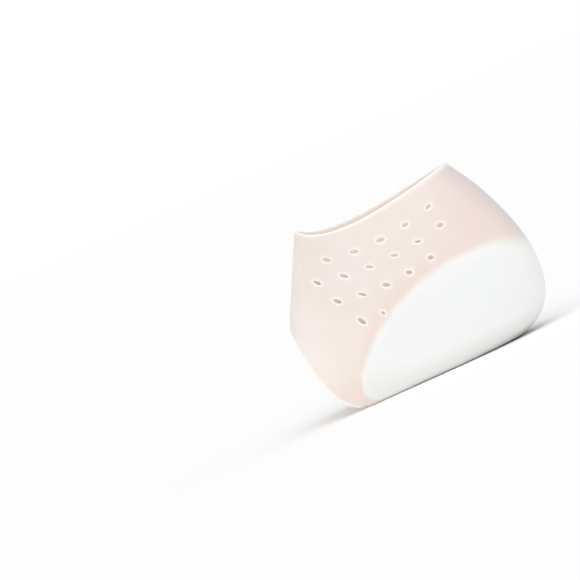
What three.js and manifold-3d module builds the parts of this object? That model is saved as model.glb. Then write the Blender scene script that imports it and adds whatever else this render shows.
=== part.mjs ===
// A silicone heel lift: a thin vented sleeve that holds a white wedge under the heel.
// Millimetres, +Z up. The heel points along +X, the toes along -X, and Y = 0 is the mirror plane.
// The origin is on the floor, below the middle of the bounding box.
import * as THREE from 'three';
import { ParametricGeometry } from 'three/addons/geometries/ParametricGeometry.js';
import { mergeVertices } from 'three/addons/utils/BufferGeometryUtils.js';
import Module from 'manifold-3d';

const wasm = await Module();
wasm.setup();

// Driving sizes
const WALL = 2; // thickness of the sleeve's skin
const CLEARANCE = 0.3; // between the skin and the lift inside it
const BASE_BLEND = 1.2; // half the height over which the round sides run into the flat base
const GREATEST_WIDTH = 80; // more than the sleeve's, for what cuts or fills it from side to side
const VENT_LENGTH = 5;
const VENT_WIDTH = 2.5;
const CUP_POWER = 2.6; // 2 makes the heel's cup a parabola across, more makes it flatter in the middle

// Facets
const SLEEVE_AROUND = 48;
const SLEEVE_ALONG = 28;
const CUP_ALONG = 42;
const CUP_ACROSS = 24;
const VENT_QUARTER_SIDES = 3;
const SAME_POINT = 1e-4; // points closer than this are one

// Sections of the sleeve's outside, from the ankle rim, down round the heel, to the front rim.
// Seen from the side as [x, z], a section runs from top, on the instep, bowed towards via, to bottom.
// halfWidth is its reach in Y, greatest at the share widest of the way from top to bottom.
// topPower and bottomPower shape its two half ovals: 2 is an ellipse, more is squarer.
const SLEEVE_SECTIONS = [
  { top: [-46.4, 103.8], via: [-32.7, 88], bottom: [45.4, 105.2],
    halfWidth: 31, widest: 0.5, topPower: 1.8, bottomPower: 2.1 },
  { top: [-49.8, 97], via: [-26.7, 72], bottom: [56.9, 85.7],
    halfWidth: 33, widest: 0.52, topPower: 1.85, bottomPower: 2.15 },
  { top: [-53, 91], via: [-20.7, 57], bottom: [66.2, 63.2],
    halfWidth: 34.5, widest: 0.55, topPower: 1.95, bottomPower: 2.25 },
  { top: [-56, 85], via: [-15.7, 42], bottom: [71, 41.2],
    halfWidth: 36, widest: 0.58, topPower: 2.05, bottomPower: 2.45 },
  { top: [-59, 79], via: [-14.7, 27], bottom: [68.2, 18.2],
    halfWidth: 37, widest: 0.6, topPower: 2.1, bottomPower: 2.6 },
  { top: [-61.8, 73.5], via: [-20.7, 14], bottom: [53.8, 3],
    halfWidth: 37, widest: 0.6, topPower: 2.15, bottomPower: 2.8 },
  { top: [-64.6, 68], via: [-34.7, 5], bottom: [24.3, -2.2],
    halfWidth: 36.5, widest: 0.58, topPower: 2.2, bottomPower: 3 },
  { top: [-67.6, 62], via: [-52.7, -1.5], bottom: [-6.2, -2.2],
    halfWidth: 36, widest: 0.56, topPower: 2.2, bottomPower: 3 },
  { top: [-71, 54], via: [-70.7, -6], bottom: [-35.2, -2.2],
    halfWidth: 36.5, widest: 0.55, topPower: 2.2, bottomPower: 3 },
];

// Rows of vents on each side, from the rim down: the first and last vent's centre seen from the side,
// how far the middle of the row hangs below the line between them, and the tilt of the ovals in degrees.
const VENT_ROWS = [
  { count: 5, first: [-36.7, 83.3], last: [26.5, 87.3], sag: 3.6, firstTilt: -32, lastTilt: 15 },
  { count: 6, first: [-46.5, 73.7], last: [28.4, 75.5], sag: 4.1, firstTilt: -45, lastTilt: 0 },
  { count: 5, first: [-40.5, 60.1], last: [16.2, 61.6], sag: 3, firstTilt: -42, lastTilt: -20 },
  { count: 2, first: [-32.6, 44.9], last: [-20.1, 44.3], sag: 0, firstTilt: -57, lastTilt: -60 },
];

// The lift's top at stations along X: the height of its seat on the mirror plane, the height of its edge
// against the skin, and the half width at which the cup reaches that edge.
const LIFT_STATIONS = [
  { x: -47.7, seat: -5, edge: 9.5, reach: 32.7 },
  { x: -44.7, seat: -3.5, edge: 17.5, reach: 32.4 },
  { x: -38.7, seat: -0.5, edge: 24.5, reach: 32.2 },
  { x: -27.7, seat: 5, edge: 35, reach: 31.7 },
  { x: -12.7, seat: 12, edge: 44.5, reach: 32.6 },
  { x: 4.3, seat: 20.5, edge: 51.5, reach: 32.5 },
  { x: 22.3, seat: 28.5, edge: 55.5, reach: 30.4 },
  { x: 40.3, seat: 33.5, edge: 56, reach: 25.6 },
  { x: 54.3, seat: 38.5, edge: 54.8, reach: 19 },
  { x: 62.3, seat: 45.5, edge: 53.3, reach: 12.2 },
  { x: 69, seat: 51.5, edge: 51.6, reach: 4 },
  { x: 75, seat: 52, edge: 51.6, reach: 4 },
];
const LIFT_FRONT_MIDDLE = -27.7; // where the lift's hollowed front edge lies on the mirror plane

// A closed three.js geometry as a solid that can be joined and cut.
function solidFrom(geometry) {
  const bare = new THREE.BufferGeometry();
  bare.setAttribute('position', geometry.getAttribute('position'));
  bare.setIndex(geometry.getIndex());
  const merged = mergeVertices(bare, SAME_POINT);
  const index = merged.getIndex().array;
  const corners = [];
  for (let i = 0; i < index.length; i += 3) {
    const [a, b, c] = index.slice(i, i + 3);
    if (a !== b && b !== c && c !== a) corners.push(a, b, c);
  }
  const vertProperties = new Float32Array(merged.getAttribute('position').array);
  const triVerts = new Uint32Array(corners);
  return new wasm.Manifold(new wasm.Mesh({ numProp: 3, vertProperties, triVerts }));
}

function meshFrom(solid, name, material) {
  const { vertProperties, triVerts } = solid.getMesh();
  const geometry = new THREE.BufferGeometry();
  geometry.setAttribute('position', new THREE.BufferAttribute(vertProperties, 3));
  geometry.setIndex(new THREE.BufferAttribute(triVerts, 1));
  geometry.computeVertexNormals();
  const mesh = new THREE.Mesh(geometry, material);
  mesh.name = name;
  return mesh;
}

// A smooth curve through values at equally spaced places, read at a share of its length from 0 to 1.
function smoothThrough(values, share) {
  const last = values.length - 1;
  const i = Math.min(Math.floor(share * last), last - 1);
  const f = share * last - i;
  const before = values[i - 1] ?? 2 * values[i] - values[i + 1];
  const after = values[i + 2] ?? 2 * values[i + 1] - values[i];
  const leaving = (values[i + 1] - before) / 2;
  const arriving = (after - values[i]) / 2;
  const rise = values[i + 1] - values[i];
  const square = 3 * rise - 2 * leaving - arriving;
  const cube = leaving + arriving - 2 * rise;
  return values[i] + f * (leaving + f * (square + f * cube));
}

// One side of a section, from its top round to its bottom, as a curve that can be divided evenly.
class SectionSide extends THREE.Curve {
  constructor(share) {
    super();
    const column = (pick) => smoothThrough(SLEEVE_SECTIONS.map(pick), share);
    const point = (name) => new THREE.Vector2(column((s) => s[name][0]), column((s) => s[name][1]));
    this.sideView = new THREE.QuadraticBezierCurve(point('top'), point('via'), point('bottom'));
    this.halfWidth = column((s) => s.halfWidth);
    this.widest = column((s) => s.widest);
    this.topPower = column((s) => s.topPower);
    this.bottomPower = column((s) => s.bottomPower);
  }

  getPoint(share, target = new THREE.Vector3()) {
    const cosine = Math.cos(share * Math.PI);
    const sine = Math.abs(Math.sin(share * Math.PI));
    const power = cosine > 0 ? this.topPower : this.bottomPower;
    const along = Math.abs(cosine) ** (2 / power);
    const way = cosine > 0 ? this.widest * (1 - along) : this.widest + (1 - this.widest) * along;
    const { x, y: z } = this.sideView.getPoint(way);
    return target.set(x, -this.halfWidth * sine ** (2 / power), z);
  }
}

// The sleeve's outside as rings of points, before its base is flattened.
function roundRings() {
  const rings = [];
  for (let i = 0; i <= SLEEVE_ALONG; i += 1) {
    const nearSide = new SectionSide(i / SLEEVE_ALONG).getSpacedPoints(SLEEVE_AROUND / 2);
    const farSide = nearSide.slice(1, -1).reverse();
    rings.push([...nearSide, ...farSide.map((p) => new THREE.Vector3(p.x, -p.y, p.z))]);
  }
  return rings;
}

// Heights well above the floor stay, those below it come up to it, with a soft bend between.
function settle(height, floor) {
  const above = height - floor;
  if (above >= BASE_BLEND) return height;
  return floor + Math.max(above + BASE_BLEND, 0) ** 2 / (4 * BASE_BLEND);
}

// The rings moved inwards by depth, square to the surface, and flattened underneath.
function ringsAtDepth(rings, depth) {
  return rings.map((ring, i) =>
    ring.map((point, j) => {
      const along = new THREE.Vector3().subVectors(
        rings[Math.min(i + 1, rings.length - 1)][j],
        rings[Math.max(i - 1, 0)][j],
      );
      const around = new THREE.Vector3().subVectors(
        ring[(j + 1) % ring.length],
        ring[(j + ring.length - 1) % ring.length],
      );
      const inwards = around.cross(along).normalize();
      const moved = point.clone().addScaledVector(inwards, depth);
      moved.z = settle(moved.z, depth);
      return moved;
    }),
  );
}

// A surface through rings of points, in order, each ring closed.
function skinThrough(rings) {
  const around = rings[0].length;
  const along = rings.length - 1;
  const pick = (u, v, target) => {
    const ring = rings[Math.round(v * along)];
    target.copy(ring[Math.round((1 - u) * around) % around]);
  };
  return new ParametricGeometry(pick, around, along);
}

// Every point of the ring drawn to its middle, which closes an end.
function closedEnd(ring) {
  const middle = ring.reduce((sum, p) => sum.add(p), new THREE.Vector3()).divideScalar(ring.length);
  return ring.map(() => middle);
}

// The ovals cut through both sides, along Y.
function ventCutters() {
  return VENT_ROWS.flatMap(({ count, first, last, sag, firstTilt, lastTilt }) =>
    Array.from({ length: count }, (_, i) => {
      const share = i / (count - 1);
      const x = THREE.MathUtils.lerp(first[0], last[0], share);
      const z = THREE.MathUtils.lerp(first[1], last[1], share) - 4 * sag * share * (1 - share);
      const tilt = THREE.MathUtils.degToRad(THREE.MathUtils.lerp(firstTilt, lastTilt, share));
      const oval = new THREE.Shape();
      oval.absellipse(x, z, VENT_LENGTH / 2, VENT_WIDTH / 2, 0, 2 * Math.PI, false, tilt);
      const cutter = new THREE.ExtrudeGeometry(oval, {
        depth: GREATEST_WIDTH,
        bevelEnabled: false,
        curveSegments: 2 * VENT_QUARTER_SIDES,
      });
      return cutter.rotateX(Math.PI / 2).translate(0, GREATEST_WIDTH / 2, 0);
    }),
  );
}

function buildSleeve(rings) {
  const outside = ringsAtDepth(rings, 0);
  const inside = ringsAtDepth(rings, WALL).reverse();
  const skin = solidFrom(skinThrough([...outside, ...inside, outside[0]]));
  return ventCutters().reduce((solid, cutter) => solid.subtract(solidFrom(cutter)), skin);
}

// The height of the lift's top at x and y.
function liftTop(x, y) {
  const next = LIFT_STATIONS.findIndex((s) => s.x >= x);
  const b = LIFT_STATIONS[Math.max(next, 1)];
  const a = LIFT_STATIONS[Math.max(next, 1) - 1];
  const share = (x - a.x) / (b.x - a.x);
  const seat = THREE.MathUtils.lerp(a.seat, b.seat, share);
  const edge = THREE.MathUtils.lerp(a.edge, b.edge, share);
  const reach = THREE.MathUtils.lerp(a.reach, b.reach, share);
  return seat + (edge - seat) * Math.min(Math.abs(y) / reach, 1) ** CUP_POWER;
}

// A block whose top is pressed to the shape of the lift's top and whose front is hollowed.
function cupBlock() {
  const front = LIFT_STATIONS[0];
  const back = LIFT_STATIONS.at(-1);
  const below = Math.min(...LIFT_STATIONS.map((s) => s.seat)) - WALL;
  const block = new THREE.BoxGeometry(1, GREATEST_WIDTH, 1, CUP_ALONG, CUP_ACROSS, 1);
  const position = block.getAttribute('position');
  for (let i = 0; i < position.count; i += 1) {
    const y = position.getY(i);
    const outwards = Math.min(Math.abs(y) / front.reach, 1);
    const start = THREE.MathUtils.lerp(LIFT_FRONT_MIDDLE, front.x, outwards ** 2);
    const x = THREE.MathUtils.lerp(start, back.x, position.getX(i) + 0.5);
    position.setXYZ(i, x, y, position.getZ(i) > 0 ? liftTop(x, y) : below);
  }
  return block;
}

function buildLift(rings) {
  const body = ringsAtDepth(rings, WALL + CLEARANCE);
  const filled = solidFrom(skinThrough([closedEnd(body[0]), ...body, closedEnd(body.at(-1))]));
  return filled.intersect(solidFrom(cupBlock()));
}

const paleSilicone = new THREE.MeshStandardMaterial({ color: 0xf0e2da, roughness: 0.55, metalness: 0 });
const whiteSilicone = new THREE.MeshStandardMaterial({ color: 0xf6f7f6, roughness: 0.6, metalness: 0 });

const heelLift = new THREE.Group();
const sleeveRings = roundRings();
heelLift.add(meshFrom(buildSleeve(sleeveRings), 'sleeve', paleSilicone));
heelLift.add(meshFrom(buildLift(sleeveRings), 'heel_lift', whiteSilicone));

export default heelLift;
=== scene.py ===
"""A silicone heel lift: a thin, vented, milky sleeve that holds a white wedge in its heel.

Metres, +Z up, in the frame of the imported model. The heel points along +X, the front rim faces -X, the
near side is -Y, and Y = 0 is the mirror plane. Tables are in millimetres and are turned into metres
where they are read.
"""
from __future__ import annotations

import logging
import math
from collections.abc import Callable, Iterator, Sequence
from contextlib import contextmanager
from dataclasses import dataclass, field
from enum import Enum
from typing import ClassVar

import bmesh
import bpy
import numpy as np
from mathutils import Color, Matrix, Vector


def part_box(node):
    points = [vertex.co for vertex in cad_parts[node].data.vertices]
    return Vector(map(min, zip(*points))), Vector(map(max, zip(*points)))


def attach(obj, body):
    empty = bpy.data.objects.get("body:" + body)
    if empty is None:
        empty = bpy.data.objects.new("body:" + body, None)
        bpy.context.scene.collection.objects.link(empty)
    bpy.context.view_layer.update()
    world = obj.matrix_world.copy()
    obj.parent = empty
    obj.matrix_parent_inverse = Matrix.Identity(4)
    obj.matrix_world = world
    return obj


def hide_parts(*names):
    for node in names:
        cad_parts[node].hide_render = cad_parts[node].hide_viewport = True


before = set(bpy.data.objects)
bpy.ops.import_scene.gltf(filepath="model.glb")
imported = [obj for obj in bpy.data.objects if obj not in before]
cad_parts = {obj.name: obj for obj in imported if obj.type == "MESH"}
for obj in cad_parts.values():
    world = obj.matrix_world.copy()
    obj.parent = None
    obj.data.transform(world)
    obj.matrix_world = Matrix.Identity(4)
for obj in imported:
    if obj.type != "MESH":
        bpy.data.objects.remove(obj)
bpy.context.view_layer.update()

LOG = logging.getLogger("heel_lift")
MM = 0.001
TINY = 1e-6  # keeps a division from failing at 0
HALF_WAY = 0.5  # how far one round of smoothing draws a point to its neighbours
Numbers = float | np.ndarray


class SelectBy(Enum):
    """What edit mode selects."""

    EDGE = "EDGE"
    FACE = "FACE"


@dataclass(frozen=True)
class Section:
    """One section of the sleeve's outside, in millimetres.

    Seen from the side as (x, z), it runs from top, on the front band, bowed towards via, to bottom. It
    is half_width wide each way at the share widest of the way down. The powers shape its two half
    ovals: 2 is an ellipse, more is squarer.
    """

    top: tuple[float, float]
    via: tuple[float, float]
    bottom: tuple[float, float]
    half_width: float
    widest: float
    top_power: float
    bottom_power: float


# From the upper rim, down round the heel, to the front rim.
SLEEVE_SECTIONS = (
    Section((-46.4, 103.8), (-32.7, 88), (45.4, 105.2), 31, 0.5, 1.8, 2.1),
    Section((-49.8, 97), (-26.7, 72), (56.9, 85.7), 33, 0.52, 1.85, 2.15),
    Section((-53, 91), (-20.7, 57), (66.2, 63.2), 34.5, 0.55, 1.95, 2.25),
    Section((-56, 85), (-15.7, 42), (71, 41.2), 36, 0.58, 2.05, 2.45),
    Section((-59, 79), (-14.7, 27), (68.2, 18.2), 37, 0.6, 2.1, 2.6),
    Section((-61.8, 73.5), (-20.7, 14), (53.8, 3), 37, 0.6, 2.15, 2.8),
    Section((-64.6, 68), (-34.7, 5), (24.3, -2.2), 36.5, 0.58, 2.2, 3),
    Section((-67.6, 62), (-52.7, -1.5), (-6.2, -2.2), 36, 0.56, 2.2, 3),
    Section((-71, 54), (-70.7, -6), (-35.2, -2.2), 36.5, 0.55, 2.2, 3),
)


@dataclass(frozen=True)
class Vent:
    """One oval vent seen from the side, in metres and radians."""

    x: float
    z: float
    tilt: float
    half_length: float
    half_width: float

    def scaled(self, x: Numbers, z: Numbers, grow: float) -> tuple[Numbers, Numbers]:
        """Read places seen from the side in the vent's own axes.

        Args:
            x: Places along X.
            z: Places along Z.
            grow: The margin by which the oval is grown.

        Returns:
            How far the places are from the centre, along the grown oval and across it. 1 is its edge.
        """
        cosine, sine = math.cos(self.tilt), math.sin(self.tilt)
        dx, dz = x - self.x, z - self.z
        along = (dx * cosine + dz * sine) / (self.half_length + grow)
        return along, (dz * cosine - dx * sine) / (self.half_width + grow)

    def outside(self, x: np.ndarray, z: np.ndarray) -> np.ndarray:
        """Find roughly how far places seen from the side lie outside the oval.

        Args:
            x: Places along X.
            z: Places along Z.

        Returns:
            The distances, below 0 inside the oval.
        """
        along, across = self.scaled(x, z, 0)
        share = np.maximum(np.hypot(along, across), TINY)
        reach = np.hypot(along * self.half_length, across * self.half_width)
        return reach * (1 - 1 / share)

    def point(self, grow: float, angle: float) -> tuple[float, float]:
        """Find a point on the oval, grown evenly by a margin.

        Args:
            grow: The margin outside the oval.
            angle: The angle round the oval from its long axis.

        Returns:
            The point's x and z.
        """
        along = (self.half_length + grow) * math.cos(angle)
        across = (self.half_width + grow) * math.sin(angle)
        cosine, sine = math.cos(self.tilt), math.sin(self.tilt)
        return self.x + along * cosine - across * sine, self.z + along * sine + across * cosine


@dataclass(frozen=True)
class VentRow:
    """A row of vents seen from the side, in millimetres and degrees.

    The middle of the row hangs sag below the line from its first vent to its last. sizes holds the
    length and the width of each vent, from the front to the heel: the stretched wall draws some of
    them rounder and closes others.
    """

    first: tuple[float, float]
    last: tuple[float, float]
    sag: float
    first_tilt: float
    last_tilt: float
    sizes: tuple[tuple[float, float], ...]

    def vents(self) -> list[Vent]:
        """Lay out the row, from the front to the heel."""
        laid = []
        for share, (length, width) in zip(np.linspace(0, 1, len(self.sizes)), self.sizes):
            x = np.interp(share, (0, 1), (self.first[0], self.last[0]))
            z = np.interp(share, (0, 1), (self.first[1], self.last[1]))
            z -= 4 * self.sag * share * (1 - share)
            tilt = math.radians(np.interp(share, (0, 1), (self.first_tilt, self.last_tilt)))
            laid.append(Vent(x * MM, z * MM, tilt, length / 2 * MM, width / 2 * MM))
        return laid


# From the upper rim down.
VENT_ROWS = (
    VentRow((-36.7, 83.3), (26.5, 87.3), 3.6, -32, 15,
            ((4.8, 2.5), (4.8, 2.5), (5.1, 2.7), (4, 2.4), (3.9, 2))),
    VentRow((-46.5, 73.7), (28.4, 75.5), 4.1, -45, 0,
            ((4.7, 2.5), (5.2, 2.3), (4.2, 1.8), (4.1, 1.8), (4, 1.9), (4, 2.7))),
    VentRow((-40.5, 60.1), (16.2, 61.6), 3, -42, -20,
            ((5.3, 2.4), (4.9, 2.1), (4.6, 2.6), (3.8, 2.7), (3.7, 2.7))),
    VentRow((-32.6, 44.9), (-20.1, 44.3), 0, -57, -60,
            ((5.7, 2.7), (3, 1.6))),
)


@dataclass(frozen=True)
class LiftStation:
    """The lift's top at one place along X, in millimetres.

    seat is its height on the mirror plane, edge its height against the sleeve, and reach the half
    width at which the cup comes up to that edge.
    """

    x: float
    seat: float
    edge: float
    reach: float


LIFT_STATIONS = (
    LiftStation(-47.7, -5, 9.5, 32.7),
    LiftStation(-44.7, -3.5, 17.5, 32.4),
    LiftStation(-38.7, -0.5, 24.5, 32.2),
    LiftStation(-27.7, 5, 35, 31.7),
    LiftStation(-12.7, 12, 44.5, 32.6),
    LiftStation(4.3, 20.5, 51.5, 32.5),
    LiftStation(22.3, 28.5, 55.5, 30.4),
    LiftStation(40.3, 33.5, 56, 25.6),
    LiftStation(54.3, 38.5, 54.8, 19),
    LiftStation(62.3, 45.5, 53.3, 12.2),
    LiftStation(69, 51.5, 51.6, 4),
    LiftStation(75, 52, 51.6, 4),
)


def take_in_hand(piece: bpy.types.Object) -> None:
    """Make a piece the only one selected, and the active one."""
    bpy.ops.object.select_all(action="DESELECT")
    piece.select_set(True)
    bpy.context.view_layer.objects.active = piece


@contextmanager
def editing(piece: bpy.types.Object, by: SelectBy = SelectBy.FACE) -> Iterator[None]:
    """Hold a piece in edit mode with nothing of it selected.

    Args:
        piece: The piece to edit.
        by: What is selected there.
    """
    take_in_hand(piece)
    bpy.ops.object.mode_set(mode="EDIT")
    bpy.ops.mesh.select_mode(type=by.value)
    bpy.ops.mesh.select_all(action="DESELECT")
    try:
        yield
    finally:
        bpy.ops.object.mode_set(mode="OBJECT")


def select_faces(piece: bpy.types.Object, wanted: Callable[[Vector], bool]) -> None:
    """Select the faces of a piece in edit mode by the place of their middles.

    Args:
        piece: The piece, in edit mode.
        wanted: Tells whether the face with this middle is selected.
    """
    work = bmesh.from_edit_mesh(piece.data)
    for face in work.faces:
        face.select_set(wanted(face.calc_center_median()))
    bmesh.update_edit_mesh(piece.data)


def put_in_order(piece: bpy.types.Object) -> None:
    """Sort a piece's edges and faces by their points, because extruding leaves them in any order.

    Args:
        piece: The piece, in edit mode.
    """
    work = bmesh.from_edit_mesh(piece.data)
    work.verts.index_update()
    for parts in (work.edges, work.faces):
        by_points = sorted(parts, key=lambda part: sorted(point.index for point in part.verts))
        for place, part in enumerate(by_points):
            part.index = place
        parts.sort()
    bmesh.update_edit_mesh(piece.data)


def points_of(piece: bpy.types.Object) -> np.ndarray:
    """Read the points of a mesh as rows of x, y and z."""
    flat = np.empty(len(piece.data.vertices) * 3)
    piece.data.vertices.foreach_get("co", flat)
    return flat.reshape(-1, 3)


def normals_of(piece: bpy.types.Object) -> np.ndarray:
    """Read the normals at the points of a mesh as rows of x, y and z."""
    flat = np.empty(len(piece.data.vertices) * 3)
    piece.data.vertices.foreach_get("normal", flat)
    return flat.reshape(-1, 3)


def move_points(piece: bpy.types.Object, points: np.ndarray) -> None:
    """Put the points of a mesh at new places.

    Args:
        piece: The piece, in object mode.
        points: Rows of x, y and z, in the order of the mesh.
    """
    piece.data.vertices.foreach_set("co", points.ravel())
    piece.data.update()


def apply_modifiers(piece: bpy.types.Object) -> None:
    """Apply a piece's modifiers in their order."""
    take_in_hand(piece)
    for name in [modifier.name for modifier in piece.modifiers]:
        bpy.ops.object.modifier_apply(modifier=name)


def paint(piece: bpy.types.Object, name: str, values: np.ndarray) -> None:
    """Store one number at each point of a mesh for its material to read.

    Args:
        piece: The piece, in object mode.
        name: The name of the attribute.
        values: One number for each point.
    """
    layer = piece.data.attributes.new(name=name, type="FLOAT", domain="POINT")
    layer.data.foreach_set("value", np.asarray(values, dtype=np.float32))


def soft_step(low: Numbers, high: Numbers, values: np.ndarray) -> np.ndarray:
    """Rise smoothly from 0 at low to 1 at high.

    Args:
        low: The value at which the step begins.
        high: The value at which it ends.
        values: Where to read the step.

    Returns:
        The step at each value.
    """
    share = np.clip((values - low) / (high - low), 0, 1)
    return share * share * (3 - 2 * share)


class SleeveForm:
    """The sleeve's outside before its base is flattened, in metres.

    A place on the near side has a share along, from the upper rim to the front rim, and a share round,
    from the front band to the underside.
    """

    FINE = 240  # steps in which half a section is worked out
    LENGTHS = slice(0, 7)  # the columns of a section that are lengths
    TRIES = np.linspace(0.02, 0.98, 25)  # shares that are tried to start a search
    SEARCHES = 5  # rounds of a search
    SEARCHED = (0.001, 0.998)  # shares between which a search stays
    STEP = 1e-4  # share over which a search measures a slope

    def __init__(self, sections: Sequence[Section], base_blend: float) -> None:
        """Read the sections.

        Args:
            sections: The sections in millimetres, from the upper rim to the front rim.
            base_blend: Half the height over which the round sides run into the flat base.
        """
        self.base_blend = base_blend
        self.rows = np.array([
            [*s.top, *s.via, *s.bottom, s.half_width, s.widest, s.top_power, s.bottom_power]
            for s in sections
        ])
        self.rows[:, self.LENGTHS] *= MM

    def columns(self, along: float) -> np.ndarray:
        """Read every column of the sections on a smooth curve through them.

        Args:
            along: The share along.

        Returns:
            The columns at that share.
        """
        last = len(self.rows) - 1
        i = min(int(along * last), last - 1)
        f = along * last - i
        here, there = self.rows[i], self.rows[i + 1]
        before = self.rows[i - 1] if i > 0 else 2 * here - there
        after = self.rows[i + 2] if i + 2 <= last else 2 * there - here
        leaving, arriving, rise = (there - before) / 2, (after - here) / 2, there - here
        square = 3 * rise - 2 * leaving - arriving
        cube = leaving + arriving - 2 * rise
        return here + f * (leaving + f * (square + f * cube))

    def side(self, along: float, rounds: np.ndarray) -> np.ndarray:
        """Find points on the near half of one section.

        Args:
            along: The share along.
            rounds: The shares round, by length.

        Returns:
            Rows of x, y and z.
        """
        columns = self.columns(along)
        top, via, bottom = columns[0:2], columns[2:4], columns[4:6]
        half_width, widest, top_power, bottom_power = columns[6:10]
        angle = np.linspace(0, math.pi, self.FINE + 1)
        cosine, sine = np.cos(angle), np.abs(np.sin(angle))
        sine[[0, -1]] = 0
        upper = cosine > 0
        power = np.where(upper, top_power, bottom_power)
        reach = np.abs(cosine) ** (2 / power)
        way = np.where(upper, widest * (1 - reach), widest + (1 - widest) * reach)[:, None]
        plane = (1 - way) ** 2 * top + 2 * way * (1 - way) * via + way**2 * bottom
        fine = np.column_stack((plane[:, 0], -half_width * sine ** (2 / power), plane[:, 1]))
        walked = np.concatenate(([0], np.cumsum(np.linalg.norm(np.diff(fine, axis=0), axis=1))))
        places = np.asarray(rounds) * walked[-1]
        return np.column_stack([np.interp(places, walked, fine[:, k]) for k in range(3)])

    def point(self, along: float, rounds: float) -> np.ndarray:
        """Find one point of the near side."""
        return self.side(float(np.clip(along, 0, 1)), np.array([rounds]))[0]

    def roughly_at(self, x: float, z: float) -> tuple[float, float]:
        """Find roughly which point of the near side is seen at x and z.

        Args:
            x: The place along X.
            z: The place along Z.

        Returns:
            The share along and the share round.
        """
        tries = np.array([self.side(share, self.TRIES) for share in self.TRIES])
        gaps = np.hypot(tries[:, :, 0] - x, tries[:, :, 2] - z)
        row, column = np.unravel_index(np.argmin(gaps), gaps.shape)
        return self.TRIES[row], self.TRIES[column]

    def seen_at(self, x: float, z: float, start: tuple[float, float]) -> tuple[np.ndarray, np.ndarray]:
        """Find the point of the near side that is seen at x and z.

        Args:
            x: The place along X.
            z: The place along Z.
            start: The share along and the share round from which the search begins.

        Returns:
            The point, and the outward normal there.
        """
        seen = [0, 2]
        along, rounds = start
        for _ in range(self.SEARCHES):
            here = self.point(along, rounds)
            by_along = (self.point(along + self.STEP, rounds) - here) / self.STEP
            by_round = (self.point(along, rounds + self.STEP) - here) / self.STEP
            slopes = np.column_stack((by_along[seen], by_round[seen]))
            move = np.linalg.solve(slopes, np.array((x, z)) - here[seen])
            along = float(np.clip(along + move[0], *self.SEARCHED))
            rounds = float(np.clip(rounds + move[1], *self.SEARCHED))
        outwards = np.cross(by_along, by_round)
        outwards *= -math.copysign(1 / np.linalg.norm(outwards), outwards[1])
        return self.point(along, rounds), outwards

    def settle(self, heights: np.ndarray, floor: float) -> np.ndarray:
        """Bring heights below a floor up to it, with a soft bend, and leave those well above it.

        Args:
            heights: The heights.
            floor: The height of the floor.

        Returns:
            The settled heights.
        """
        above = heights - floor
        bent = floor + np.maximum(above + self.base_blend, 0) ** 2 / (4 * self.base_blend)
        return np.where(above >= self.base_blend, heights, bent)


class LiftForm:
    """The lift's top, in metres."""

    NO_EDGE = -10 * MM  # stands for the height of an edge in front of the lift, where there is none

    def __init__(self, stations: Sequence[LiftStation], front_middle: float, cup_power: float) -> None:
        """Read the stations.

        Args:
            stations: The stations in millimetres, from the front to the heel.
            front_middle: Where the hollowed front edge lies on the mirror plane.
            cup_power: How flat the cup is across: 2 is a parabola, more is flatter in the middle.
        """
        rows = np.array([(s.x, s.seat, s.edge, s.reach) for s in stations]) * MM
        self.x, self.seat, self.edge, self.reach = rows.T
        self.front_middle = front_middle
        self.cup_power = cup_power

    def top(self, x: np.ndarray, y: np.ndarray) -> np.ndarray:
        """Find the height of the lift's top.

        Args:
            x: Places along X.
            y: Places along Y.

        Returns:
            The height at each place.
        """
        seat, edge, reach = (np.interp(x, self.x, row) for row in (self.seat, self.edge, self.reach))
        return seat + (edge - seat) * np.minimum(np.abs(y) / reach, 1) ** self.cup_power

    def start(self, y: np.ndarray) -> np.ndarray:
        """Find the front edge's place along X at each place along Y."""
        outwards = np.minimum(np.abs(y) / self.reach[0], 1) ** 2
        return self.front_middle + (self.x[0] - self.front_middle) * outwards

    def edge_height(self, x: np.ndarray) -> np.ndarray:
        """Find the height of the lift's edge against the sleeve at each place along X."""
        return np.interp(x, self.x, self.edge, left=self.NO_EDGE)


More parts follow.
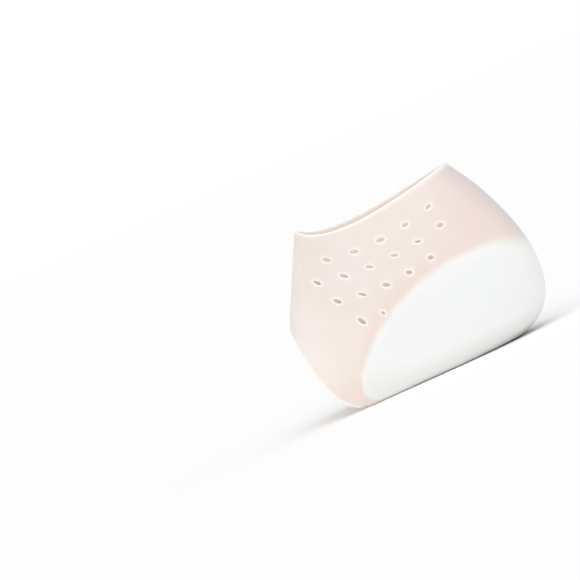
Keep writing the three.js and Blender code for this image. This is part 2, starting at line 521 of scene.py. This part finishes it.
class Board:
    """The node tree of one material, with short calls to add to it."""

    MIX_FIRST, MIX_SECOND, MIX_RESULT = 6, 7, 2  # the sockets of a Mix node that take and give colours

    def __init__(self, name: str) -> None:
        """Start a material with only its shader and its output.

        Args:
            name: The name of the material.
        """
        self.material = bpy.data.materials.new(name)
        self.material.use_nodes = True
        self.nodes = self.material.node_tree.nodes
        self.links = self.material.node_tree.links
        self.shader = self.nodes["Principled BSDF"]

    def add(self, kind: str, **settings: object) -> bpy.types.Node:
        """Add a node.

        Args:
            kind: The node's type name.
            settings: Its properties.

        Returns:
            The node.
        """
        node = self.nodes.new(kind)
        for key, value in settings.items():
            setattr(node, key, value)
        return node

    def join(self, out: bpy.types.NodeSocket, into: bpy.types.NodeSocket) -> None:
        """Link one socket to another."""
        self.links.new(out, into)

    def places(self) -> bpy.types.NodeSocket:
        """Give the Object coordinates."""
        return self.add("ShaderNodeTexCoord").outputs["Object"]

    def painted(self, name: str) -> bpy.types.NodeSocket:
        """Give the number that is painted on the mesh under a name."""
        return self.add("ShaderNodeAttribute", attribute_name=name).outputs["Fac"]

    def noise(self, where: bpy.types.NodeSocket, scale: float, detail: float) -> bpy.types.NodeSocket:
        """Add a noise and give its strength.

        Args:
            where: The coordinates.
            scale: The number of features in a metre.
            detail: The number of finer layers.

        Returns:
            A number round 0.5.
        """
        node = self.add("ShaderNodeTexNoise")
        node.inputs["Scale"].default_value = scale
        node.inputs["Detail"].default_value = detail
        self.join(where, node.inputs["Vector"])
        return node.outputs["Fac"]

    def spread(self, value: bpy.types.NodeSocket, old: tuple[float, float],
               new: tuple[float, float]) -> bpy.types.NodeSocket:
        """Map a number from one range to another, smoothly and within the new range.

        Args:
            value: The number.
            old: The range it comes from.
            new: The range it goes to.

        Returns:
            The mapped number.
        """
        node = self.add("ShaderNodeMapRange", interpolation_type="SMOOTHSTEP")
        for name, number in zip(("From Min", "From Max", "To Min", "To Max"), (*old, *new)):
            node.inputs[name].default_value = number
        self.join(value, node.inputs["Value"])
        return node.outputs["Result"]

    def blend(self, share: bpy.types.NodeSocket, first: Colour | bpy.types.NodeSocket,
              second: Colour | bpy.types.NodeSocket) -> bpy.types.NodeSocket:
        """Mix two colours.

        Args:
            share: The share of the second colour.
            first: A colour, or a socket that gives one.
            second: The other colour.

        Returns:
            The mixed colour.
        """
        node = self.add("ShaderNodeMix", data_type="RGBA")
        self.join(share, node.inputs["Factor"])
        for socket, colour in ((self.MIX_FIRST, first), (self.MIX_SECOND, second)):
            if isinstance(colour, Colour):
                node.inputs[socket].default_value = colour.linear()
            else:
                self.join(colour, node.inputs[socket])
        return node.outputs[self.MIX_RESULT]

    def bump(self, height: bpy.types.NodeSocket, depth: float) -> None:
        """Raise and lower the shader's surface.

        Args:
            height: A number from 0 to 1.
            depth: The height in metres that 1 stands for.
        """
        node = self.add("ShaderNodeBump")
        node.inputs["Distance"].default_value = depth
        self.join(height, node.inputs["Height"])
        self.join(node.outputs["Normal"], self.shader.inputs["Normal"])


@dataclass(frozen=True)
class Colour:
    """A colour as it is seen on a screen, each channel from 0 to FULL."""

    red: float
    green: float
    blue: float
    FULL: ClassVar[float] = 255

    def linear(self) -> tuple[float, float, float, float]:
        """Give the colour in the renderer's linear light, opaque."""
        seen = Color((self.red / self.FULL, self.green / self.FULL, self.blue / self.FULL))
        return (*seen.from_srgb_to_scene_linear(), 1)


@dataclass(frozen=True)
class Silicone:
    """What both silicones share: faint clouds, an uneven gloss, a fine mould grain and a milky glow.

    A scale is a number of features in a metre, a detail a number of finer layers, and edges are the
    strengths of the noise between which its effect comes in.
    """

    cloud_scale: float = 26
    cloud_detail: float = 2
    cloud_edges: tuple[float, float] = (0.36, 0.64)
    gloss_scale: float = 80
    gloss_detail: float = 3
    gloss_edges: tuple[float, float] = (0.3, 0.7)
    roughness: tuple[float, float] = (0.36, 0.5)
    grain_scale: float = 1500
    grain_detail: float = 2
    grain_depth: float = 0.04 * MM
    glow: float = 0.9
    glow_reach: float = 4 * MM
    glow_tint: tuple[float, float, float] = (1, 0.9, 0.84)
    ior: float = 1.41

    def clouds(self, board: Board) -> bpy.types.NodeSocket:
        """Give a soft, cloudy share from 0 to 1."""
        noise = board.noise(board.places(), self.cloud_scale, self.cloud_detail)
        return board.spread(noise, self.cloud_edges, (0, 1))

    def dress(self, board: Board, colour: bpy.types.NodeSocket) -> bpy.types.Material:
        """Finish the shader.

        Args:
            board: The node tree.
            colour: The colour of the surface.

        Returns:
            The finished material.
        """
        where = board.places()
        gloss = board.noise(where, self.gloss_scale, self.gloss_detail)
        grain = board.noise(where, self.grain_scale, self.grain_detail)
        sockets = board.shader.inputs
        board.join(colour, sockets["Base Color"])
        board.join(board.spread(gloss, self.gloss_edges, self.roughness), sockets["Roughness"])
        board.bump(grain, self.grain_depth)
        sockets["Subsurface Weight"].default_value = self.glow
        sockets["Subsurface Radius"].default_value = self.glow_tint
        sockets["Subsurface Scale"].default_value = self.glow_reach
        sockets["IOR"].default_value = self.ior
        return board.material


@dataclass(frozen=True)
class PaleSilicone(Silicone):
    """The sleeve's milky wall: white where the lift backs it, warm and clouded where it is bare."""

    cream: Colour = Colour(227, 219, 212)
    rosy: Colour = Colour(230, 220, 217)
    # Tan, for painted shade above the lift's edge and a warm tint at the front and at the back.
    tan: Colour = Colour(228, 213, 208)
    # Painted shade along the back.
    painted_back_shade: Colour = Colour(207, 201, 200)
    white: Colour = Colour(250, 248, 243)
    # Painted shade along the base.
    base_shade_grey: Colour = Colour(234, 234, 230)
    # Painted light: the inside is lighter and warmer than the outside, brightening the shade inside the
    # sleeve.
    painted_inside_light: Colour = Colour(242, 225, 218)
    # Painted highlight, on the lips round the vents and on the rims.
    painted_highlight: Colour = Colour(244, 237, 231)

    def material(self) -> bpy.types.Material:
        """Make the material.

        Returns:
            A material that reads the painted numbers shade, painted_back_shade, backing,
            painted_base_shade, inside, painted_highlight and rim. Backing is the lift's white; the
            others paint shade, light and highlights, and shade and inside also carry a warm tint.
        """
        board = Board("pale_silicone")
        colour = board.blend(self.clouds(board), self.cream, self.rosy)
        # Over the clouds: the tan with painted shade, painted shade at the back and along the base, the
        # lift's white, painted light inside, and painted highlights on the lips and rims.
        layers = {"shade": self.tan, "painted_back_shade": self.painted_back_shade, "backing": self.white,
                  "painted_base_shade": self.base_shade_grey, "inside": self.painted_inside_light, "painted_highlight": self.painted_highlight, "rim": self.painted_highlight}
        for name, over in layers.items():
            colour = board.blend(board.painted(name), colour, over)
        return self.dress(board, colour)


@dataclass(frozen=True)
class WhiteSilicone(Silicone):
    """The lift's dense white silicone."""

    cloud_scale: float = 40
    roughness: tuple[float, float] = (0.42, 0.58)
    grain_scale: float = 1300
    grain_depth: float = 0.06 * MM
    glow: float = 0.2
    glow_reach: float = 1 * MM
    white: Colour = Colour(246, 246, 245)
    ivory: Colour = Colour(243, 242, 239)

    def material(self) -> bpy.types.Material:
        """Make the material."""
        board = Board("white_silicone")
        return self.dress(board, board.blend(self.clouds(board), self.white, self.ivory))


@dataclass(frozen=True)
class StudioFloor:
    """The plain floor's matt white."""

    white: Colour = Colour(246, 246, 246)
    roughness: float = 0.9
    shine: float = 0

    def material(self) -> bpy.types.Material:
        """Make the material."""
        board = Board("studio_floor")
        board.shader.inputs["Base Color"].default_value = self.white.linear()
        board.shader.inputs["Roughness"].default_value = self.roughness
        board.shader.inputs["Specular IOR Level"].default_value = self.shine
        return board.material


@dataclass
class Pattern:
    """A flat sheet of square cells, one unit wide, that is wrapped round to make a sleeve.

    Columns run round, from the front band along the near side, under the base and back along the far
    side. Rows run along, from the upper rim to the front rim. rim is the share of the way along at
    which the rows next to the rims lie. Points below edge_height are drawn to their neighbours, the
    lowest most.
    """

    around: int
    along: int
    rim: float
    edge_height: float = 8 * MM
    edge_smoothing: int = 14
    weld: float = 0.01 * MM

    def shares(self) -> np.ndarray:
        """Give the share along of each row, evenly spaced between the two rows next to the rims."""
        return np.concatenate(([0], np.linspace(self.rim, 1 - self.rim, self.along - 1), [1]))

    def lay(self, name: str) -> bpy.types.Object:
        """Add the flat sheet.

        Args:
            name: The name of the new piece.

        Returns:
            The sheet, from 0 to around in X and from 0 to along in Y.
        """
        bpy.ops.object.select_all(action="DESELECT")
        bpy.ops.mesh.primitive_grid_add(x_subdivisions=self.around, y_subdivisions=self.along, size=1)
        piece = bpy.context.object
        piece.name = name
        with editing(piece):
            bpy.ops.mesh.select_all(action="SELECT")
            bpy.ops.transform.translate(value=(0.5, 0.5, 0))
            bpy.ops.transform.resize(value=(self.around, self.along, 1), center_override=(0, 0, 0))
        return piece

    def wrap(self, piece: bpy.types.Object, form: SleeveForm) -> None:
        """Wrap the flat sheet round on a flat base, mark its rims for a painted highlight, and close the
        seam at the front band.

        Args:
            piece: The flat sheet.
            form: The shape to wrap it to.
        """
        half = self.around // 2
        near = np.array([form.side(share, np.linspace(0, 1, half + 1)) for share in self.shares()])
        far = near[:, -2::-1] * (1, -1, 1)
        grid = np.concatenate((near, far), axis=1)
        grid[:, :, 2] = form.settle(grid[:, :, 2], 0)
        self._round_edges(grid)
        crossings = np.rint(points_of(piece)[:, :2]).astype(int)
        move_points(piece, grid[crossings[:, 1], crossings[:, 0]])
        # The rows at the rims are marked for a painted highlight along the rim edges.
        paint(piece, "rim", np.isin(crossings[:, 1], (0, self.along)))
        with editing(piece):
            bpy.ops.mesh.select_all(action="SELECT")
            bpy.ops.mesh.remove_doubles(threshold=self.weld)
            bpy.ops.mesh.normals_make_consistent(inside=False)

    def _round_edges(self, grid: np.ndarray) -> None:
        """Round the edges where the sides meet the base, by drawing low points to their neighbours.

        Args:
            grid: The wrapped points as rows, columns and x, y and z, which are changed in place.
        """
        pull = HALF_WAY * np.clip(1 - grid[:, :, 2:] / self.edge_height, 0, 1)
        for _ in range(self.edge_smoothing):
            between = (np.roll(grid, 1, axis=1) + np.roll(grid, -1, axis=1)) / 2
            grid += pull * (between - grid)


@dataclass(frozen=True)
class LipRing:
    """One ring of points round a vent: how far outside its oval it is, and how far it stands proud."""

    grow: float
    proud: float


@dataclass
class Sleeve:
    """The vented sleeve that holds the lift in its heel.

    A pair of numbers is a band: what it names comes in softly from the first to the second.
    """

    form: SleeveForm
    lift: LiftForm
    finish: PaleSilicone

    # The wall, its rims, and the tight inside corners where its sides meet the base at the front.
    wall: float = 2 * MM
    around: int = 168
    along: int = 96
    rim_share: float = 0.018
    rim_rounding: float = 0.5 * MM
    rim_steps: int = 3
    corner_back: float = -42 * MM
    corner_sides: tuple[float, float] = (28 * MM, 34.7 * MM)
    corner_heights: tuple[float, float] = (1.3 * MM, 6 * MM)
    corner_smoothing: int = 10

    # The vents, with the rings of points that lead from the wall to each of them.
    rows: tuple[VentRow, ...] = VENT_ROWS
    gap_smoothing: int = 4
    rings: tuple[LipRing, ...] = (
        LipRing(2.2 * MM, 0),
        LipRing(1.3 * MM, 0.05 * MM),
        LipRing(0.5 * MM, 0.22 * MM),
        LipRing(-0.3 * MM, 0.02 * MM),
    )
    # A painted highlight lies on each lip, in a band outside its oval.
    lip_width: tuple[float, float] = (0.5 * MM, 1.8 * MM)
    lip_highlight_strength: float = 0.75

    # The white of the lift behind the wall. Its edge fades more at the back, a painted shade there, and
    # its foremost corner is rounded off.
    soft_edge: tuple[float, float] = (-3 * MM, 4 * MM)
    shaded_back_edge: tuple[float, float] = (50 * MM, 68 * MM)
    shaded_back_edge_fade: float = 7 * MM
    round_corner_height: float = 14 * MM
    round_corner_depth: float = 12 * MM
    round_corner_power: float = 4

    # The tan: painted shade in a band above the lift's edge, where a shadow line falls, and a warm tint
    # along the base at the front and at the back. Painted shade in grey along the back, near the mirror
    # plane.
    edge_shade: tuple[float, float] = (-16 * MM, 0)
    edge_shade_start: tuple[float, float] = (-50 * MM, -36 * MM)
    front_shade: tuple[float, float] = (4 * MM, 26 * MM)
    back_shade: tuple[float, float] = (10 * MM, 50 * MM)
    back_shade_width: tuple[float, float] = (3 * MM, 23 * MM)

    # The painted shade along the base, in grey, which comes up higher at the front.
    base_shade_band: tuple[float, float] = (3 * MM, 15 * MM)
    base_shade_front: tuple[float, float] = (-48 * MM, -15 * MM)
    base_shade_front_rise: float = 12 * MM

    vents: list[Vent] = field(init=False)
    starts: dict[Vent, tuple[float, float]] = field(init=False)

    def __post_init__(self) -> None:
        """Lay out the vents and find where on the form each of them lies."""
        self.vents = [vent for row in self.rows for vent in row.vents()]
        self.starts = {vent: self.form.roughly_at(vent.x, vent.z) for vent in self.vents}

    def build(self) -> bpy.types.Object:
        """Model the sleeve and dress it.

        Returns:
            The finished piece.
        """
        pattern = Pattern(self.around, self.along, self.rim_share)
        piece = pattern.lay("vented_sleeve")
        pattern.wrap(piece, self.form)
        self._open_vents(piece)
        self._thicken(piece)
        self._paint(piece)
        piece.data.materials.append(self.finish.material())
        return piece

    def _at_a_vent(self, place: Vector, grow: float) -> bool:
        """Tell whether a place lies in one of the vents, grown by a margin."""
        return any(math.hypot(*vent.scaled(place.x, place.z, grow)) < 1 for vent in self.vents)

    def _open_vents(self, piece: bpy.types.Object) -> None:
        """Take out the faces round each vent and draw the gap's edge in, ring by ring, to its oval.

        Args:
            piece: The wrapped sheet.
        """
        with editing(piece):
            select_faces(piece, lambda middle: self._at_a_vent(middle, self.rings[0].grow))
            bpy.ops.mesh.delete(type="FACE")
        with editing(piece, SelectBy.EDGE):
            self._select_gaps(piece)
            bpy.ops.mesh.vertices_smooth(factor=HALF_WAY, repeat=self.gap_smoothing)
            before = None
            for ring in self.rings:
                if before is not None:
                    bpy.ops.mesh.extrude_edges_move()
                self._set_ring(piece, before, ring)
                before = ring
            bpy.ops.mesh.select_all(action="SELECT")
            bpy.ops.mesh.normals_make_consistent(inside=False)
            put_in_order(piece)

    def _select_gaps(self, piece: bpy.types.Object) -> None:
        """Select the edges of the gaps, and not those of the sleeve's rims.

        Args:
            piece: The sheet, in edit mode.
        """
        work = bmesh.from_edit_mesh(piece.data)
        margin = 2 * self.rings[0].grow
        for edge in work.edges:
            middle = (edge.verts[0].co + edge.verts[1].co) / 2
            edge.select_set(edge.is_boundary and self._at_a_vent(middle, margin))
        bmesh.update_edit_mesh(piece.data)

    def _set_ring(self, piece: bpy.types.Object, before: LipRing | None, ring: LipRing) -> None:
        """Set the selected points on one ring round each vent.

        Args:
            piece: The sheet, in edit mode.
            before: The ring that they lie on, if any.
            ring: The ring that they go to.
        """
        work = bmesh.from_edit_mesh(piece.data)
        grown = before.grow if before else ring.grow
        for point in (p for p in work.verts if p.select):
            vent = min(self.vents, key=lambda v: math.hypot(*v.scaled(point.co.x, point.co.z, grown)))
            along, across = vent.scaled(point.co.x, point.co.z, grown)
            x, z = vent.point(ring.grow, math.atan2(across, along))
            place, outwards = self.form.seen_at(x, z, self.starts[vent])
            sign = -1 if point.co.y > 0 else 1
            point.co = (place + outwards * ring.proud) * (1, sign, 1)
        bmesh.update_edit_mesh(piece.data)

    def _thicken(self, piece: bpy.types.Object) -> None:
        """Give the sheet its wall, inwards, smooth its tight corners, and round its rims and lips.

        Args:
            piece: The wrapped sheet.
        """
        with editing(piece, SelectBy.EDGE):
            bpy.ops.mesh.select_non_manifold()
            bpy.ops.transform.edge_bevelweight(value=1)
        wall = piece.modifiers.new("wall", "SOLIDIFY")
        wall.thickness = self.wall
        wall.offset = -1
        wall.use_even_offset = False
        wall.use_quality_normals = True
        apply_modifiers(piece)
        # The points of the inside come after those of the outside.
        points = len(piece.data.vertices)
        # Mark the inside for its painted light, lighter and warmer than the outside.
        paint(piece, "inside", np.arange(points) >= points // 2)
        with editing(piece):
            select_faces(piece, self._in_a_corner)
            bpy.ops.mesh.vertices_smooth(factor=HALF_WAY, repeat=self.corner_smoothing)
        rims = piece.modifiers.new("rims", "BEVEL")
        rims.width = self.rim_rounding
        rims.segments = self.rim_steps
        rims.limit_method = "WEIGHT"
        apply_modifiers(piece)
        bpy.ops.object.shade_smooth()

    def _in_a_corner(self, place: Vector) -> bool:
        """Tell whether a place lies in one of the tight inside corners at the front.

        Args:
            place: The place.

        Returns:
            Whether it does.
        """
        inner, outer = self.corner_sides
        low, high = self.corner_heights
        return place.x < self.corner_back and inner < abs(place.y) < outer and low < place.z < high

    def _paint(self, piece: bpy.types.Object) -> None:
        """Paint what shows on the wall: the lift behind it, the tan with painted shade, painted shade at
        the back and along the base, and painted highlights on the lips.

        Args:
            piece: The sleeve.
        """
        x, y, z = points_of(piece).T
        backing = self._backing(x, y, z)
        back = soft_step(*self.back_shade, x)
        # Tan: painted shade above the lift's edge, and a warm tint along the base at the front and at
        # the back.
        shade = np.maximum.reduce((self._edge_shade(x, z), 1 - soft_step(*self.front_shade, z), back))
        painted = {
            "backing": backing,
            "shade": shade * (1 - backing),
            # Painted shade: grey along the back near the mirror plane, where the wall turns from the
            # light.
            "painted_back_shade": back * (1 - soft_step(*self.back_shade_width, np.abs(y))),
            # Painted shade: grey along the base, where the lower edge turns under.
            "painted_base_shade": backing * self._painted_base_shade(x, z),
            "painted_highlight": self._lip_highlights(x, z),
        }
        for name, values in painted.items():
            paint(piece, name, values)

    def _backing(self, x: np.ndarray, y: np.ndarray, z: np.ndarray) -> np.ndarray:
        """Find how much of the lift's white shows through the wall.

        Args:
            x: Places along X.
            y: Places along Y.
            z: Places along Z.

        Returns:
            The share of white at each place.
        """
        corner = np.clip(1 - z / self.round_corner_height, 0, 1) ** self.round_corner_power
        front = self.lift.start(y) + self.round_corner_depth * corner
        low, high = self.soft_edge
        # Painted shade: the white fades over a wider band towards the back edge, where it lies in shade.
        fade = self.shaded_back_edge_fade * soft_step(*self.shaded_back_edge, x)
        below = self.lift.edge_height(x) - z
        return soft_step(low, high + fade, below) * soft_step(low, high, x - front)

    def _edge_shade(self, x: np.ndarray, z: np.ndarray) -> np.ndarray:
        """Find the painted shade above the lift's edge: a warm band where a shadow line falls.

        Args:
            x: Places along X.
            z: Places along Z.

        Returns:
            The shade at each place.
        """
        below = self.lift.edge_height(x) - z
        return soft_step(*self.edge_shade, below) * soft_step(*self.edge_shade_start, x)

    def _painted_base_shade(self, x: np.ndarray, z: np.ndarray) -> np.ndarray:
        """Find the painted shade along the base, where the lower edge turns under, away from the light.

        Args:
            x: Places along X.
            z: Places along Z.

        Returns:
            The painted shade at each place.
        """
        low, high = self.base_shade_band
        rise = self.base_shade_front_rise * (1 - soft_step(*self.base_shade_front, x))
        return 1 - soft_step(low, high + rise, z)

    def _lip_highlights(self, x: np.ndarray, z: np.ndarray) -> np.ndarray:
        """Find the painted highlight on the lips round the vents.

        Args:
            x: Places along X.
            z: Places along Z.

        Returns:
            The painted highlight at each place.
        """
        outside = np.min([vent.outside(x, z) for vent in self.vents], axis=0)
        return self.lip_highlight_strength * (1 - soft_step(*self.lip_width, outside))


@dataclass
class HeelLift:
    """The white wedge in the sleeve's heel, dished to a cup.

    Its outside follows the sleeve's form at a depth that clears the wall. The cup is cut by a block that
    reaches half_block to each side and down to the height below.
    """

    form: SleeveForm
    lift: LiftForm
    finish: WhiteSilicone
    depth: float = 2.35 * MM
    around: int = 96
    along: int = 56
    rim_share: float = 0.018
    cup_cells: tuple[int, int] = (90, 60)
    half_block: float = 40 * MM
    below: float = -7 * MM
    voxel: float = 0.8 * MM
    smoothing: int = 6

    def build(self) -> bpy.types.Object:
        """Model the lift and dress it.

        Returns:
            The finished piece.
        """
        piece = self._filling()
        cup = self._cup_block()
        cut = piece.modifiers.new("cup", "BOOLEAN")
        cut.operation = "INTERSECT"
        cut.solver = "MANIFOLD"
        cut.object = cup
        melt = piece.modifiers.new("melt", "REMESH")
        melt.mode = "VOXEL"
        melt.voxel_size = self.voxel
        smooth = piece.modifiers.new("smooth", "SMOOTH")
        smooth.factor = HALF_WAY
        smooth.iterations = self.smoothing
        apply_modifiers(piece)
        bpy.data.objects.remove(cup)
        bpy.ops.object.shade_smooth()
        piece.data.materials.clear()
        piece.data.materials.append(self.finish.material())
        return piece

    def _filling(self) -> bpy.types.Object:
        """Model the whole room inside the sleeve as a closed body.

        Returns:
            The body, clear of the sleeve's inside.
        """
        pattern = Pattern(self.around, self.along, self.rim_share)
        piece = pattern.lay("heel_wedge")
        pattern.wrap(piece, self.form)
        points = points_of(piece) - normals_of(piece) * self.depth
        points[:, 2] = self.form.settle(points[:, 2], self.depth)
        move_points(piece, points)
        with editing(piece, SelectBy.EDGE):
            bpy.ops.mesh.select_non_manifold()
            bpy.ops.mesh.edge_face_add()
            bpy.ops.mesh.select_mode(type=SelectBy.FACE.value)
            bpy.ops.mesh.poke()
            bpy.ops.mesh.select_all(action="SELECT")
            bpy.ops.mesh.normals_make_consistent(inside=False)
        return piece

    def _cup_block(self) -> bpy.types.Object:
        """Model a block whose top has the shape of the lift's top and whose front is hollowed.

        Returns:
            The block, wider than the lift.
        """
        bpy.ops.object.select_all(action="DESELECT")
        along, across = self.cup_cells
        bpy.ops.mesh.primitive_grid_add(x_subdivisions=along, y_subdivisions=across, size=1)
        block = bpy.context.object
        points = points_of(block)
        points[:, 1] *= 2 * self.half_block
        start = self.lift.start(points[:, 1])
        points[:, 0] = start + (self.lift.x[-1] - start) * (points[:, 0] + 0.5)
        points[:, 2] = self.lift.top(points[:, 0], points[:, 1])
        move_points(block, points)
        with editing(block):
            bpy.ops.mesh.select_all(action="SELECT")
            bpy.ops.mesh.extrude_region_move(TRANSFORM_OT_translate={"value": (0, 0, -self.half_block)})
        # The points of the bottom come after those of the top.
        points = points_of(block)
        points[len(points) // 2:, 2] = self.below
        move_points(block, points)
        with editing(block):
            bpy.ops.mesh.select_all(action="SELECT")
            bpy.ops.mesh.normals_make_consistent(inside=False)
        return block


@dataclass
class Studio:
    """The floor, the light and the camera.

    aim is the middle of the picture along X and upright in it, and frame_width is how much of the
    object's plane the picture takes in. sensor is in millimetres, as the camera states it.
    """

    floor: StudioFloor
    floor_size: float = 8
    elevation: float = math.radians(3)
    roll: float = math.radians(24)
    distance: float = 4
    sight: float = 50
    sensor: float = 36
    frame_width: float = 322.2 * MM
    aim: tuple[float, float] = (-61.8 * MM, 74.9 * MM)
    world_light: float = 0.8
    lamp_angle: float = math.radians(60)
    sun_light: float = 1.0
    sun_from: tuple[float, float, float] = (-0.04, -0.58, 0.8)
    fill_light: float = 0.22
    fill_from: tuple[float, float, float] = (0, -1, 0.1)

    def build(self) -> None:
        """Lay the floor, light it, and set up the camera."""
        self._lay_floor()
        self._light()
        self._set_camera()

    def _lay_floor(self) -> None:
        """Lay a plain floor under the object."""
        bpy.ops.object.select_all(action="DESELECT")
        bpy.ops.mesh.primitive_plane_add(size=self.floor_size, location=(0, 0, 0))
        floor = bpy.context.object
        floor.name = "studio_floor"
        floor.data.materials.append(self.floor.material())

    def _light(self) -> None:
        """Light the object softly from above and from the camera's side, in a white room."""
        world = bpy.data.worlds.new("white_room")
        bpy.context.scene.world = world
        world.use_nodes = True
        nodes, links = world.node_tree.nodes, world.node_tree.links
        room = nodes["Background"]
        room.inputs["Color"].default_value = (1, 1, 1, 1)
        seen = nodes.new("ShaderNodeMapRange")
        seen.inputs["To Min"].default_value = self.world_light
        links.new(nodes.new("ShaderNodeLightPath").outputs["Is Camera Ray"], seen.inputs["Value"])
        links.new(seen.outputs["Result"], room.inputs["Strength"])
        self._hang_lamp("soft_sun", self.sun_light, self.sun_from)
        self._hang_lamp("soft_fill", self.fill_light, self.fill_from)
        bpy.context.scene.view_settings.view_transform = "Standard"

    def _hang_lamp(self, name: str, strength: float, place: tuple[float, float, float]) -> None:
        """Add a broad, distant lamp.

        Args:
            name: The name of the lamp.
            strength: Its strength.
            place: The direction from which it shines.
        """
        bpy.ops.object.light_add(type="SUN", location=place)
        lamp = bpy.context.object
        lamp.name = name
        lamp.data.energy = strength
        lamp.data.angle = self.lamp_angle
        lamp.rotation_euler = (-Vector(place)).to_track_quat("-Z", "Y").to_euler()

    def _set_camera(self) -> None:
        """Look at the near side square on, from a little above, with the picture turned by the roll."""
        ahead = Vector((0, math.cos(self.elevation), -math.sin(self.elevation)))
        upright = Vector((0, math.sin(self.elevation), math.cos(self.elevation)))
        level = Vector((1, 0, 0))
        right = level * math.cos(self.roll) - upright * math.sin(self.roll)
        up = level * math.sin(self.roll) + upright * math.cos(self.roll)
        aim = level * self.aim[0] + upright * self.aim[1]
        place = aim - ahead * self.distance
        bpy.ops.object.camera_add()
        camera = bpy.context.object
        turn = Matrix((right, up, -ahead)).transposed().to_4x4()
        camera.matrix_world = Matrix.Translation(place) @ turn
        camera.data.sensor_width = self.sensor
        camera.data.lens = self.sensor * self.distance / self.frame_width
        camera.data.clip_end = self.sight
        bpy.context.scene.camera = camera


def hand_over(piece: bpy.types.Object, node: str) -> None:
    """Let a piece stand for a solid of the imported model, and report it.

    Args:
        piece: The finished piece.
        node: The solid it stands for.
    """
    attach(piece, "root")
    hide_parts(node)
    low, high = (np.array(corner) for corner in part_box(node))
    points = points_of(piece)
    LOG.info("%s: %d faces, box %s to %s, solid %s to %s", piece.name, len(piece.data.polygons),
             np.round(points.min(axis=0), 4), np.round(points.max(axis=0), 4), low, high)


def main() -> None:
    """Build the sleeve and the lift, and set up the studio."""
    logging.basicConfig(level=logging.INFO, format="%(name)s: %(message)s")
    form = SleeveForm(SLEEVE_SECTIONS, base_blend=1.2 * MM)
    lift = LiftForm(LIFT_STATIONS, front_middle=-27.7 * MM, cup_power=2.6)
    sleeve = Sleeve(form, lift, PaleSilicone()).build()
    hand_over(sleeve, "sleeve")
    wedge = HeelLift(form, lift, WhiteSilicone()).build()
    hand_over(wedge, "heel_lift")
    Studio(StudioFloor()).build()


if __name__ == "__main__":
    main()
